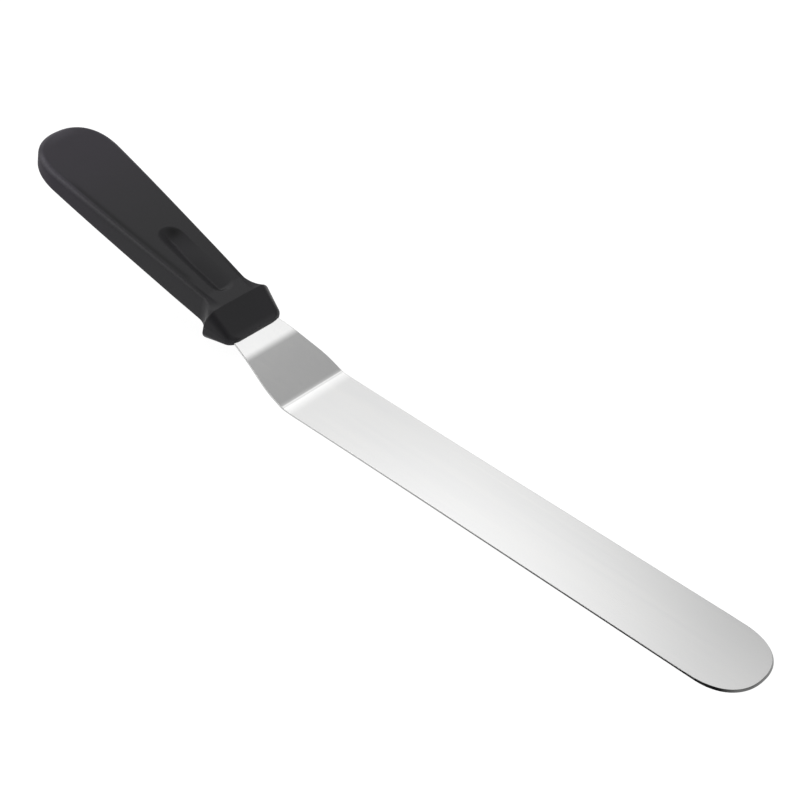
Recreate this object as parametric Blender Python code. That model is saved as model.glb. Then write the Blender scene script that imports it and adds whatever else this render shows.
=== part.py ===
"""Offset icing spatula: a bent stainless blade whose tang is locked inside a moulded plastic handle.

Units are metres and +Z is up. +X runs from the handle to the blade's tip and Y runs across the blade.
The origin is on the underside of the flat blade, half way between the heel bend and the tip.
"""

import math

import bmesh
import bpy
from mathutils import Vector

# Gap left between pieces that touch
CLEARANCE = 0.0003

# Blade sheet: the flat, the heel bend, the ramp, the upper bend and the neck that enters the handle
SHEET = 0.0010
FLAT_LENGTH = 0.2205
BLADE_WIDTH = 0.0326
TIP_LENGTH = 0.0180
TIP_FULLNESS = 2.24
HEEL_WIDTH = 0.0336
HEEL_SPREAD = 0.0900
HEEL_RADIUS = 0.0063
RAMP_ANGLE = math.radians(22.0)
RAMP_LENGTH = 0.0275
UPPER_BEND_RADIUS = 0.0440
NECK_LENGTH = 0.0087
NECK_WIDTH = 0.0245
FLARE_START = 0.0100
SHOULDER_BLEND = 0.0050

# Tang, inside the handle, with two holes that the handle's plastic fills
TANG_LENGTH = 0.0880
TANG_WIDTH = 0.0150
TANG_SHOULDER = 0.0090
LOCK_HOLE_DIAMETER = 0.0060
LOCK_HOLE_COUNT = 2
LOCK_HOLE_SPACING = 0.0340
LOCK_HOLE_SETBACK = 0.0200

# Handle: its tilt above the flat blade, and its paddle grip
HANDLE_TILT = math.radians(16.25)
HANDLE_LENGTH = 0.1357
GRIP_WIDTH = 0.0357
GRIP_SWELL = 0.55
BELLY_EDGE_RADIUS = 0.0026
BUTT_LENGTH = 0.0215
BUTT_FULLNESS = 2.42
BUTT_THICKNESS = 0.0102
WAIST_WIDTH = 0.0230
WAIST_THICKNESS = 0.0145
WAIST_EDGE_RADIUS = 0.0013

# Guard: a ridge round the handle, with a flare behind it and facets that taper to thin front lips.
# An edge of fullness 2 is round, and one of fullness 1 would be a flat chamfer
RIDGE_PLACE = 0.0134
RIDGE_WIDTH = 0.0355
RIDGE_THICKNESS = 0.0166
RIDGE_EDGE_ACROSS = 0.0050
RIDGE_EDGE_DEPTH = 0.0060
RIDGE_EDGE_FULLNESS = 1.6
RIDGE_FLARE = 0.0088
GUARD_SIDE_WALL = 0.00165
GUARD_LIP = 0.0010
GUARD_LIP_EDGE_ACROSS = 0.0029
GUARD_LIP_EDGE_DEPTH = 0.0010
GUARD_CORNER_RADIUS = 0.0031

# Thumb recess in the top face: a round end, a floor along the face and a ramp up to the guard's ridge
RECESS_LENGTH = 0.0480
RECESS_END_WIDTH = 0.0136
RECESS_FRONT_WIDTH = 0.0110
RECESS_DEPTH = 0.0018
RECESS_RAMP = 0.0095

# Fineness of the round stretches, the largest rounding as a share of the half-size that it rounds, and the
# fullness of a round edge
BEND_STEPS = 6
TIP_STEPS = 16
CORNER_STEPS = 4
GRIP_STEPS = 10
BUTT_STEPS = 14
HOLE_SIDES = 24
MOST_ROUNDING = 0.98
ROUND = 2.0
CREASE_ANGLE = math.radians(30.0)


def clear_scene():
    """Empties the scene, so that only the spatula is left in it."""
    for old in list(bpy.data.objects):
        bpy.data.objects.remove(old, do_unlink=True)


def make_material(name, colour, roughness, metallic):
    """A plain Principled material."""
    material = bpy.data.materials.new(name)
    material.use_nodes = True
    shader = material.node_tree.nodes["Principled BSDF"]
    shader.inputs["Base Color"].default_value = (*colour, 1.0)
    shader.inputs["Roughness"].default_value = roughness
    shader.inputs["Metallic"].default_value = metallic
    return material


def add_object(name, rings, parent=None):
    """A closed object skinned over rings of points, which all have as many points and run one way round."""
    mesh = bpy.data.meshes.new(name)
    shape = bmesh.new()
    loops = [[shape.verts.new(point) for point in ring] for ring in rings]
    for loop, after in zip(loops, loops[1:]):
        for i in range(len(loop)):
            j = (i + 1) % len(loop)
            shape.faces.new((loop[i], loop[j], after[j], after[i]))
    shape.faces.new(reversed(loops[0]))
    shape.faces.new(loops[-1])
    bmesh.ops.recalc_face_normals(shape, faces=shape.faces[:])
    shape.to_mesh(mesh)
    shape.free()
    thing = bpy.data.objects.new(name, mesh)
    thing.parent = parent
    bpy.context.collection.objects.link(thing)
    return thing


def hide_cutter(thing):
    """Marks an object as a cutter."""
    thing.hide_render = True
    thing.display_type = "WIRE"
    return thing


def cut(target, cutter):
    """Cuts one object out of another with an exact Boolean."""
    modifier = target.modifiers.new(cutter.name, "BOOLEAN")
    modifier.operation = "DIFFERENCE"
    modifier.solver = "EXACT"
    modifier.object = cutter


def smooth_shade(thing):
    """Shades the rounded stretches smooth and keeps the creases."""
    thing.data.shade_smooth()
    thing.data.set_sharp_from_angle(angle=CREASE_ANGLE)


def blend(start, end, share):
    """The value that lies at a share of the way from start to end."""
    return start + (end - start) * share


def eased(share):
    """A share from 0 to 1 that starts and stops gently."""
    return share * share * (3.0 - 2.0 * share)


def between(low, high, steps):
    """Evenly spaced values from low to high, both included."""
    return [blend(low, high, i / steps) for i in range(steps + 1)]


def quarter_turn(steps):
    """Evenly spaced angles from 0 to a right angle, both included."""
    return between(0.0, math.pi / 2, steps)


def spaced(places):
    """The places in order, without those that come closer than the clearance after another."""
    kept = []
    for place in sorted(places):
        if not kept or place - kept[-1] > CLEARANCE:
            kept.append(place)
    return kept


# Side view of the sheet's middle surface, walked from the tip as runs of a length and a turn

UPPER_BEND_ANGLE = HANDLE_TILT - RAMP_ANGLE
HEEL_SETBACK = HEEL_RADIUS * math.tan(RAMP_ANGLE / 2)
UPPER_SETBACK = UPPER_BEND_RADIUS * math.tan(abs(UPPER_BEND_ANGLE) / 2)
SHEET_RUNS = (
    (FLAT_LENGTH - HEEL_SETBACK, 0.0),
    (HEEL_RADIUS * RAMP_ANGLE, RAMP_ANGLE),
    (RAMP_LENGTH - HEEL_SETBACK - UPPER_SETBACK, 0.0),
    (UPPER_BEND_RADIUS * abs(UPPER_BEND_ANGLE), UPPER_BEND_ANGLE),
    (NECK_LENGTH - UPPER_SETBACK + TANG_LENGTH, 0.0),
)
RUN_STARTS = [sum(length for length, _ in SHEET_RUNS[:i]) for i in range(len(SHEET_RUNS))]
HEEL_AT = RUN_STARTS[1] + HEEL_RADIUS * RAMP_ANGLE / 2
GUARD_AT = RUN_STARTS[4] + NECK_LENGTH - UPPER_SETBACK


def sheet_point(along, rise=0.0):
    """The point in X and Z at a distance along the sheet from the tip, lifted off its middle by rise."""
    place = Vector((FLAT_LENGTH / 2, SHEET / 2))
    slope = 0.0
    left = along
    for length, turn in SHEET_RUNS:
        if length <= 0.0:
            continue
        step = min(left, length)
        bend = turn * step / length
        chord = 2 * step / bend * math.sin(bend / 2) if bend else step
        middle = slope + bend / 2
        place += chord * Vector((-math.cos(middle), math.sin(middle)))
        slope += bend
        left -= step
        if left <= 0.0:
            break
    return place + rise * Vector((math.sin(slope), math.cos(slope)))


def flat_half_width(along):
    """Half the sheet's width on the flat, which spreads a little on its way to the heel."""
    share = max(1.0 - (HEEL_AT - along) / HEEL_SPREAD, 0.0)
    return blend(BLADE_WIDTH, HEEL_WIDTH, share * share) / 2


def flare_half_width(past_heel):
    """Half the sheet's width on the ramp and the neck, at a distance past the heel bend."""
    slope = (HEEL_WIDTH - NECK_WIDTH) / 2 / (GUARD_AT - HEEL_AT - FLARE_START)
    past_corner = past_heel - FLARE_START
    if past_corner <= -SHOULDER_BLEND:
        return HEEL_WIDTH / 2
    if past_corner >= SHOULDER_BLEND:
        return HEEL_WIDTH / 2 - slope * past_corner
    return HEEL_WIDTH / 2 - slope * (past_corner + SHOULDER_BLEND) ** 2 / (4 * SHOULDER_BLEND)


def tang_half_width(inside):
    """Half the tang's width at a distance inside the handle: a shoulder, a straight run and a round end."""
    if inside < TANG_SHOULDER:
        return blend(NECK_WIDTH, TANG_WIDTH, eased(inside / TANG_SHOULDER)) / 2
    past_straight = max(inside - (TANG_LENGTH - TANG_WIDTH / 2), 0.0)
    return math.sqrt(max((TANG_WIDTH / 2) ** 2 - past_straight**2, 0.0))


def sheet_half_width(along):
    """Half the sheet's width at a distance along it from the tip."""
    if along < TIP_LENGTH:
        share = 1.0 - along / TIP_LENGTH
        return BLADE_WIDTH / 2 * (1.0 - share**TIP_FULLNESS) ** (1.0 / TIP_FULLNESS)
    if along <= HEEL_AT:
        return flat_half_width(along)
    if along <= GUARD_AT:
        return flare_half_width(along - HEEL_AT)
    return tang_half_width(along - GUARD_AT)


def tang_stations():
    """Distances inside the handle where the tang's outline needs a point."""
    radius = TANG_WIDTH / 2
    shoulder = between(0.0, TANG_SHOULDER, BEND_STEPS)
    round_end = [TANG_LENGTH - radius + radius * math.sin(turn) for turn in quarter_turn(2 * BEND_STEPS)[:-1]]
    return spaced(shoulder + round_end)


def blade_stations():
    """Distances along the sheet where its outline or its bends need a point."""
    tip_turns = quarter_turn(TIP_STEPS)[1:]
    tip = [TIP_LENGTH * (1.0 - math.cos(turn) ** (2.0 / TIP_FULLNESS)) for turn in tip_turns]
    spread = between(HEEL_AT - HEEL_SPREAD, HEEL_AT, BEND_STEPS)[:-1]
    heel = between(RUN_STARTS[1], RUN_STARTS[2], BEND_STEPS)
    flare_at = HEEL_AT + FLARE_START
    shoulder = between(flare_at - SHOULDER_BLEND, flare_at + SHOULDER_BLEND, BEND_STEPS)
    upper = between(RUN_STARTS[3], RUN_STARTS[4], BEND_STEPS)
    tang = [GUARD_AT + inside for inside in tang_stations()]
    return tip[:1] + spaced(tip[1:] + spread + heel + shoulder + upper + tang)


def lock_hole_places():
    """Distances inside the handle of the tang's lock holes, counted from the tang's end."""
    return [TANG_LENGTH - LOCK_HOLE_SETBACK - i * LOCK_HOLE_SPACING for i in range(LOCK_HOLE_COUNT)]


def make_post(name, centre, radius, height, parent=None):
    """A round post square to the tang, centred on a point given in X and Z."""
    turns = [2 * math.pi * i / HOLE_SIDES for i in range(HOLE_SIDES)]
    rings = [
        [(radius * math.cos(turn), radius * math.sin(turn), z) for turn in turns]
        for z in (-height / 2, height / 2)
    ]
    post = add_object(name, rings, parent)
    post.location = (centre.x, 0.0, centre.y)
    post.rotation_euler = (0.0, 0.0 if parent else HANDLE_TILT, 0.0)
    return hide_cutter(post)


def sheet_ring(along):
    """The four corners of the sheet's cross-section at a distance along it."""
    half = sheet_half_width(along)
    top = sheet_point(along, SHEET / 2)
    bottom = sheet_point(along, -SHEET / 2)
    return [
        (top.x, -half, top.y),
        (top.x, half, top.y),
        (bottom.x, half, bottom.y),
        (bottom.x, -half, bottom.y),
    ]


def make_blade(material):
    """The blade: flat, heel bend, ramp, neck and tang in one sheet, with the tang's lock holes."""
    blade = add_object("blade", [sheet_ring(along) for along in blade_stations()])
    blade.data.materials.append(material)
    through = 2 * SHEET
    for i, inside in enumerate(lock_hole_places()):
        centre = sheet_point(GUARD_AT + inside)
        cut(blade, make_post(f"lock_hole_{i}", centre, LOCK_HOLE_DIAMETER / 2, through))
    smooth_shade(blade)
    return blade


# The handle is modelled with its guard's front at x = 0 and its butt towards -X, then tilted

WAIST_PLACE = RIDGE_PLACE + RIDGE_FLARE
BELLY_PLACE = HANDLE_LENGTH - BUTT_LENGTH
SLOT_HALF_HEIGHT = SHEET / 2 + CLEARANCE
GUARD_FRONT_WIDTH = NECK_WIDTH + 2 * (CLEARANCE + GUARD_SIDE_WALL)
GUARD_FRONT_THICKNESS = 2 * (SLOT_HALF_HEIGHT + GUARD_LIP)


def grip_half_width(inside):
    """Half the grip's width behind the waist: it swells to the belly, then closes round the butt."""
    if inside > BELLY_PLACE:
        share = (inside - BELLY_PLACE) / BUTT_LENGTH
        return GRIP_WIDTH / 2 * (1.0 - share**BUTT_FULLNESS) ** (1.0 / BUTT_FULLNESS)
    share = (inside - WAIST_PLACE) / (BELLY_PLACE - WAIST_PLACE)
    return blend(WAIST_WIDTH, GRIP_WIDTH, share + GRIP_SWELL * share * share * (1.0 - share)) / 2


def grip_edge_radius(inside):
    """Radius of the grip's long edges, which grows from the waist to the belly."""
    share = min((inside - WAIST_PLACE) / (BELLY_PLACE - WAIST_PLACE), 1.0)
    return blend(WAIST_EDGE_RADIUS, BELLY_EDGE_RADIUS, share)


def grip_half_thickness(inside):
    """Half the grip's thickness, which thins to the butt and is rounded off there by the edge radius."""
    share = (inside - WAIST_PLACE) / (HANDLE_LENGTH - WAIST_PLACE)
    half = blend(WAIST_THICKNESS, BUTT_THICKNESS, share) / 2
    radius = min(BELLY_EDGE_RADIUS, MOST_ROUNDING * BUTT_THICKNESS / 2)
    inset = max(radius - (HANDLE_LENGTH - inside), 0.0)
    return half - radius + math.sqrt(radius**2 - inset**2)


# A cross-section of the handle is its half-width, its half-thickness, how far its rounded edges reach
# across and in depth, and their fullness


def guard_section(inside):
    """The cross-section in front of the ridge, where the corners are round in plan."""
    share = inside / RIDGE_PLACE
    half_width = blend(GUARD_FRONT_WIDTH, RIDGE_WIDTH, share) / 2
    short_of_corner = max(GUARD_CORNER_RADIUS - inside, 0.0)
    half_width -= GUARD_CORNER_RADIUS - math.sqrt(GUARD_CORNER_RADIUS**2 - short_of_corner**2)
    half_thickness = blend(GUARD_FRONT_THICKNESS, RIDGE_THICKNESS, share) / 2
    edge_across = blend(GUARD_LIP_EDGE_ACROSS, RIDGE_EDGE_ACROSS, share)
    edge_depth = blend(GUARD_LIP_EDGE_DEPTH, RIDGE_EDGE_DEPTH, share)
    return half_width, half_thickness, edge_across, edge_depth, RIDGE_EDGE_FULLNESS


def flare_section(inside):
    """The cross-section between the ridge and the waist, on a hollow curve."""
    hollow = (1.0 - (inside - RIDGE_PLACE) / RIDGE_FLARE) ** 2
    half_width = blend(WAIST_WIDTH, RIDGE_WIDTH, hollow) / 2
    half_thickness = blend(WAIST_THICKNESS, RIDGE_THICKNESS, hollow) / 2
    edge_across = blend(WAIST_EDGE_RADIUS, RIDGE_EDGE_ACROSS, hollow)
    edge_depth = blend(WAIST_EDGE_RADIUS, RIDGE_EDGE_DEPTH, hollow)
    return half_width, half_thickness, edge_across, edge_depth, blend(ROUND, RIDGE_EDGE_FULLNESS, hollow)


def handle_section(inside):
    """The handle's cross-section at a distance behind the guard's front."""
    if inside <= RIDGE_PLACE:
        return guard_section(inside)
    if inside <= WAIST_PLACE:
        return flare_section(inside)
    radius = grip_edge_radius(inside)
    return grip_half_width(inside), grip_half_thickness(inside), radius, radius, ROUND


def handle_ring(inside):
    """The outline of the handle's cross-section: a rectangle with rounded edges."""
    half_width, half_thickness, edge_across, edge_depth, fullness = handle_section(inside)
    across = min(edge_across, MOST_ROUNDING * half_width)
    depth = min(edge_depth, MOST_ROUNDING * half_thickness)
    power = 2.0 / fullness
    ring = []
    for i, (side, up) in enumerate(((1, 1), (-1, 1), (-1, -1), (1, -1))):
        for turn in between(i * math.pi / 2, (i + 1) * math.pi / 2, CORNER_STEPS):
            y = half_width - across + across * abs(math.cos(turn)) ** power
            z = half_thickness - depth + depth * abs(math.sin(turn)) ** power
            ring.append((-inside, side * y, up * z))
    return ring


def handle_stations():
    """Distances behind the guard's front where the handle's outline needs a ring."""
    front = [GUARD_CORNER_RADIUS * (1.0 - math.cos(turn)) for turn in quarter_turn(BEND_STEPS)]
    flare = between(RIDGE_PLACE, WAIST_PLACE, BEND_STEPS)
    grip = between(WAIST_PLACE, BELLY_PLACE, GRIP_STEPS)
    butt = [
        BELLY_PLACE + BUTT_LENGTH * math.sin(turn) ** (2.0 / BUTT_FULLNESS)
        for turn in quarter_turn(BUTT_STEPS)[:-1]
    ]
    return front[:1] + spaced(front[1:] + flare + grip + butt[:-1]) + butt[-1:]


def channel_ring(inside, half, low, high):
    """A rectangle across the handle at a distance behind the guard's front, for a cutter."""
    return [(-inside, -half, high), (-inside, half, high), (-inside, half, low), (-inside, -half, low)]


def make_recess_cutter(parent):
    """The thumb recess: a channel with a round end, whose floor ramps up to just above the guard's ridge."""
    ramp_end = RIDGE_PLACE
    ramp_start = RIDGE_PLACE + RECESS_RAMP
    end_half = RECESS_END_WIDTH / 2
    round_start = RIDGE_PLACE + RECESS_LENGTH - end_half
    round_end = [round_start + end_half * math.sin(turn) for turn in quarter_turn(2 * BEND_STEPS)[:-1]]
    high = WAIST_THICKNESS
    rings = []
    for inside in [ramp_end, ramp_start] + round_end:
        share = min((inside - ramp_end) / (round_start - ramp_end), 1.0)
        inset = max(inside - round_start, 0.0)
        half = blend(RECESS_FRONT_WIDTH, RECESS_END_WIDTH, share) / 2
        half -= end_half - math.sqrt(end_half**2 - inset**2)
        if inside == ramp_end:
            floor = RIDGE_THICKNESS / 2 + CLEARANCE
        else:
            floor = grip_half_thickness(inside) - RECESS_DEPTH
        rings.append(channel_ring(inside, half, floor, high))
    return hide_cutter(add_object("thumb_recess", rings, parent))


def make_tang_slot_cutter(parent):
    """The space for the tang with its clearance, less the plugs that fill its lock holes."""
    high = SLOT_HALF_HEIGHT
    rings = []
    for inside in [-CLEARANCE] + [place + CLEARANCE for place in tang_stations()]:
        half = tang_half_width(max(inside - CLEARANCE, 0.0)) + CLEARANCE
        rings.append(channel_ring(inside, half, -high, high))
    slot = add_object("tang_slot", rings, parent)
    plug_radius = LOCK_HOLE_DIAMETER / 2 - CLEARANCE
    through = 4 * SLOT_HALF_HEIGHT
    for i, inside in enumerate(lock_hole_places()):
        cut(slot, make_post(f"lock_plug_{i}", Vector((-inside, 0.0)), plug_radius, through, parent))
    return hide_cutter(slot)


def make_handle(material):
    """The handle: guard, waist, paddle grip and butt, with the thumb recess and the slot for the tang."""
    handle = add_object("handle", [handle_ring(inside) for inside in handle_stations()])
    handle.data.materials.append(material)
    front = sheet_point(GUARD_AT)
    handle.location = (front.x, 0.0, front.y)
    handle.rotation_euler = (0.0, HANDLE_TILT, 0.0)
    cut(handle, make_recess_cutter(handle))
    cut(handle, make_tang_slot_cutter(handle))
    smooth_shade(handle)
    return handle


def main():
    """Builds the spatula under one empty."""
    clear_scene()
    spatula = bpy.data.objects.new("spatula", None)
    bpy.context.collection.objects.link(spatula)
    steel = make_material("stainless_sheet", (0.78, 0.78, 0.77), 0.28, 1.0)
    plastic = make_material("black_plastic", (0.040, 0.040, 0.043), 0.50, 0.0)
    for piece in (make_blade(steel), make_handle(plastic)):
        piece.parent = spatula


main()
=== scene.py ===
"""Looks of the offset icing spatula: a brushed stainless blade and a moulded black handle in a white studio.

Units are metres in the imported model's frame: +X runs to the blade's tip, +Z is up, and the underside of the
blade's flat lies on z = 0. The sizes repeat the part's own, with the small roundings that the solids leave
out, and with a grip and a guard that are a few tenths of a millimetre slimmer.
"""

import logging
import math
from dataclasses import dataclass
from enum import Enum
from typing import Any, Callable, Iterable, Mapping, Optional, Sequence, Union

import bpy
import numpy as np
from mathutils import Matrix, Vector


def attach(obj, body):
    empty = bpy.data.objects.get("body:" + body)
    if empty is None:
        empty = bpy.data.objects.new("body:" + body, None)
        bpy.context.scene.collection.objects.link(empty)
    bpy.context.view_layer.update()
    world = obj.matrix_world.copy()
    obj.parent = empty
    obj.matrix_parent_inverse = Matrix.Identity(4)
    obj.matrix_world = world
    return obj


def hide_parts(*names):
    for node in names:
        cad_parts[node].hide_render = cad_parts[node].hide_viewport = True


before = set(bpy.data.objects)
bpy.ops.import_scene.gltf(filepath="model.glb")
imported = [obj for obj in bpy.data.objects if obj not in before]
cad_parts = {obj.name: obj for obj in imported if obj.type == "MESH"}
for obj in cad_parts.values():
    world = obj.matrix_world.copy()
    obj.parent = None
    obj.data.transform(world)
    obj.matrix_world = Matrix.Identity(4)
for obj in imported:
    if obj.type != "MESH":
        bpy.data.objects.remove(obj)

LOG = logging.getLogger("spatula")

Colour = tuple[float, float, float]
Point = tuple[float, float, float]
Marks = tuple[float, float, float]
Span = tuple[float, float]
Stops = tuple[Span, ...]
Settings = Mapping[str, Any]
Sockets = Mapping[Union[str, int], Any]
Value = Union["Link", float]

# Lock posts: how many sides one has, its height in thicknesses of the sheet, and the inputs that place a row
POST_SIDES = 40
POST_SHEETS = 4.0
POST_SOCKETS = {
    "Post count": "NodeSocketInt",
    "First post": "NodeSocketFloat",
    "Post spacing": "NodeSocketFloat",
    "Post diameter": "NodeSocketFloat",
    "Post height": "NodeSocketFloat",
}


class Slot(Enum):
    """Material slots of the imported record."""

    STEEL = "stainless_sheet"
    PLASTIC = "black_plastic"


class Channel(Enum):
    """Mesh attributes that the finishes read."""

    CUT_EDGE_SHADE = "cut_edge"
    RUBBED_HIGHLIGHT = "rubbed"
    SIDE = "side"
    PAINTED_SHADE = "grime"


class Compare(Enum):
    """Math node operations that have no Python operator."""

    AT_MOST = "MINIMUM"
    AT_LEAST = "MAXIMUM"
    BELOW = "LESS_THAN"


# Node trees


def operator(operation: str, reflected: bool = False) -> Callable[["Link", Value], "Link"]:
    """A Python operator for links.

    Args:
        operation: the operation of the Math node that it adds.
        reflected: whether the link is the second of the two operands.

    Returns:
        The operator, as a method of Link.
    """

    def result(link: "Link", other: Value) -> "Link":
        """The result of the Math node on a link and another value."""
        return link.math(operation, *((other, link) if reflected else (link, other)))

    return result


class Link:
    """An output socket whose Python operators add Math nodes to its tree."""

    def __init__(self, tree: "Tree", socket: bpy.types.NodeSocket) -> None:
        """Keeps the socket and the tree that it belongs to."""
        self.tree = tree
        self.socket = socket

    def math(self, operation: str, *values: Value) -> "Link":
        """The result of a Math node on the given values."""
        return self.tree.add("ShaderNodeMath", {"operation": operation}, dict(enumerate(values)))

    def compare(self, operation: Compare, other: Value) -> "Link":
        """The result of a comparing Math node on this value and another."""
        return self.math(operation.value, self, other)

    __add__ = operator("ADD")
    __radd__ = operator("ADD", True)
    __sub__ = operator("SUBTRACT")
    __rsub__ = operator("SUBTRACT", True)
    __mul__ = operator("MULTIPLY")
    __rmul__ = operator("MULTIPLY", True)
    __truediv__ = operator("DIVIDE")

    def __abs__(self) -> "Link":
        """abs(self)"""
        return self.math("ABSOLUTE", self)

    def sine(self) -> "Link":
        """The sine of this angle."""
        return self.math("SINE", self)

    def cosine(self) -> "Link":
        """The cosine of this angle."""
        return self.math("COSINE", self)

    def mixed(self, share: float, other: "Link") -> "Link":
        """A share of this value and the rest of another."""
        return self * share + other * (1.0 - share)


@dataclass(frozen=True)
class Grain:
    """A noise, by its cycles a metre along each axis, its finer levels and how strong these are."""

    scale: tuple[float, float, float]
    levels: float
    strength: float = 0.5


class Tree:
    """A node tree that nodes are added to by type, settings and sockets."""

    def __init__(self, nodes: bpy.types.NodeTree) -> None:
        """Keeps the node tree and empties it."""
        self.nodes = nodes
        self.nodes.nodes.clear()
        self.entry: Optional[bpy.types.Node] = None

    @classmethod
    def of(cls, block: Union[bpy.types.Material, bpy.types.World]) -> "Tree":
        """The emptied shader tree of a material or a world."""
        block.use_nodes = True
        return cls(block.node_tree)

    @classmethod
    def group(cls, name: str, inputs: Mapping[str, str], outputs: Mapping[str, str]) -> "Tree":
        """A new Geometry Nodes tree with named inputs and outputs.

        Args:
            name: the tree's name.
            inputs: socket type of each input, by name.
            outputs: socket type of each output, by name.

        Returns:
            The tree, with nothing but the node of its own inputs.
        """
        tree = cls(bpy.data.node_groups.new(name, "GeometryNodeTree"))
        for direction, sockets in (("INPUT", inputs), ("OUTPUT", outputs)):
            for socket, kind in sockets.items():
                tree.nodes.interface.new_socket(socket, in_out=direction, socket_type=kind)
        tree.entry = tree.nodes.nodes.new("NodeGroupInput")
        return tree

    def take(self, name: str) -> Link:
        """The tree's own input of that name."""
        return Link(self, self.entry.outputs[name])

    def taken(self, names: Iterable[str]) -> dict[str, Link]:
        """The tree's own inputs of those names."""
        return {name: self.take(name) for name in names}

    def give(self, values: Mapping[str, Link]) -> None:
        """Links the tree's own outputs."""
        self.add("NodeGroupOutput", None, values)

    def add(
        self,
        kind: str,
        settings: Optional[Settings] = None,
        sockets: Optional[Sockets] = None,
        output: Union[str, int] = 0,
    ) -> Link:
        """Adds a node.

        Args:
            kind: the node's type.
            settings: the node's properties, set before its sockets. The stops of a colour ramp are pairs of
                a position and a colour under the name stops.
            sockets: values or links of the input sockets, by name or number.
            output: the output socket wanted, by name or number.

        Returns:
            The wanted output, or the first input where the node has no output.
        """
        node = self.nodes.nodes.new(kind)
        for name, value in (settings or {}).items():
            if name == "stops":
                self._set_stops(node.color_ramp, value)
            else:
                setattr(node, name, value)
        for name, value in (sockets or {}).items():
            self._set_socket(self._socket(node.inputs, name), value)
        found = node.outputs if len(node.outputs) else node.inputs
        return Link(self, self._socket(found, output))

    @staticmethod
    def _set_stops(ramp: bpy.types.ColorRamp, stops: Sequence[tuple[float, Colour]]) -> None:
        """Sets the stops of a colour ramp, in order of position."""
        while len(ramp.elements) < len(stops):
            ramp.elements.new(1.0)
        for element, (position, colour) in zip(ramp.elements, stops):
            element.position = position
            element.color = (*colour, 1.0)

    @staticmethod
    def _socket(sockets: Any, name: Union[str, int]) -> bpy.types.NodeSocket:
        """The socket in use that has a name, or the one at a number."""
        if isinstance(name, int):
            return sockets[name]
        return next(s for s in sockets if s.name == name and not s.is_unavailable)

    def _set_socket(self, socket: bpy.types.NodeSocket, value: Any) -> None:
        """Links a socket to a Link, or sets its own value."""
        if isinstance(value, Link):
            self.nodes.links.new(value.socket, socket)
        elif socket.type == "RGBA" and len(value) == 3:
            socket.default_value = (*value, 1.0)
        else:
            socket.default_value = value

    def mix(self, factor: Value, first: Any, second: Any) -> Link:
        """A colour between two, by a factor from 0 to 1."""
        settings = {"data_type": "RGBA", "blend_type": "MIX"}
        return self.add("ShaderNodeMix", settings, {"Factor": factor, "A": first, "B": second}, "Result")

    def object_place(self) -> Link:
        """Object coordinates."""
        return self.add("ShaderNodeTexCoord", None, None, "Object")

    def noise(self, grain: Grain) -> Link:
        """A noise value from 0 to 1 over the object."""
        scaling = {0: self.object_place(), 1: grain.scale}
        place = self.add("ShaderNodeVectorMath", {"operation": "MULTIPLY"}, scaling)
        sockets = {"Vector": place, "Scale": 1.0, "Detail": grain.levels, "Roughness": grain.strength}
        return self.add("ShaderNodeTexNoise", {"normalize": True}, sockets, "Fac")

    def spread(self, value: Link, low: float, high: float) -> Link:
        """A value mapped so that low becomes 0 and high becomes 1, eased and held between them."""
        settings = {"interpolation_type": "SMOOTHSTEP"}
        return self.add("ShaderNodeMapRange", settings, {"Value": value, "From Min": low, "From Max": high})

    def channel(self, channel: Channel) -> Link:
        """A mesh attribute's value."""
        return self.add("ShaderNodeAttribute", {"attribute_name": channel.value}, None, "Fac")

    def part(self, vector: Link, axis: str) -> Link:
        """A vector's value along the axis X, Y or Z."""
        return self.add("ShaderNodeSeparateXYZ", None, {"Vector": vector}, axis)

    def vector(self, **parts: Value) -> Link:
        """A vector by its X, Y and Z, which are 0 unless given."""
        return self.add("ShaderNodeCombineXYZ", None, parts)

    def principled(self, bump: Sockets, looks: Sockets) -> None:
        """Ends a material's tree in a principled surface, by the sockets of its bump and of its looks."""
        relief = self.add("ShaderNodeBump", None, bump)
        shader = self.add("ShaderNodeBsdfPrincipled", None, {**looks, "Normal": relief})
        self.add("ShaderNodeOutputMaterial", None, {"Surface": shader})

    def call(self, group: "Tree", values: Sockets, output: Union[str, int] = 0) -> Link:
        """An output of another tree, run on the given values."""
        return self.add("GeometryNodeGroup", {"node_tree": group.nodes}, values, output)

    def cut(self, body: Link, tool: Link) -> Link:
        """A body without the space that a tool fills."""
        sockets = {"Mesh 1": body, "Mesh 2": tool}
        return self.add("GeometryNodeMeshBoolean", {"operation": "DIFFERENCE"}, sockets)

    def dressed(self, geometry: Link, finish: Link) -> Link:
        """The geometry as a real mesh with a finish."""
        real = self.add("GeometryNodeRealizeInstances", None, {"Geometry": geometry})
        return self.add("GeometryNodeSetMaterial", None, {"Geometry": real, "Material": finish})


# Finishes


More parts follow.
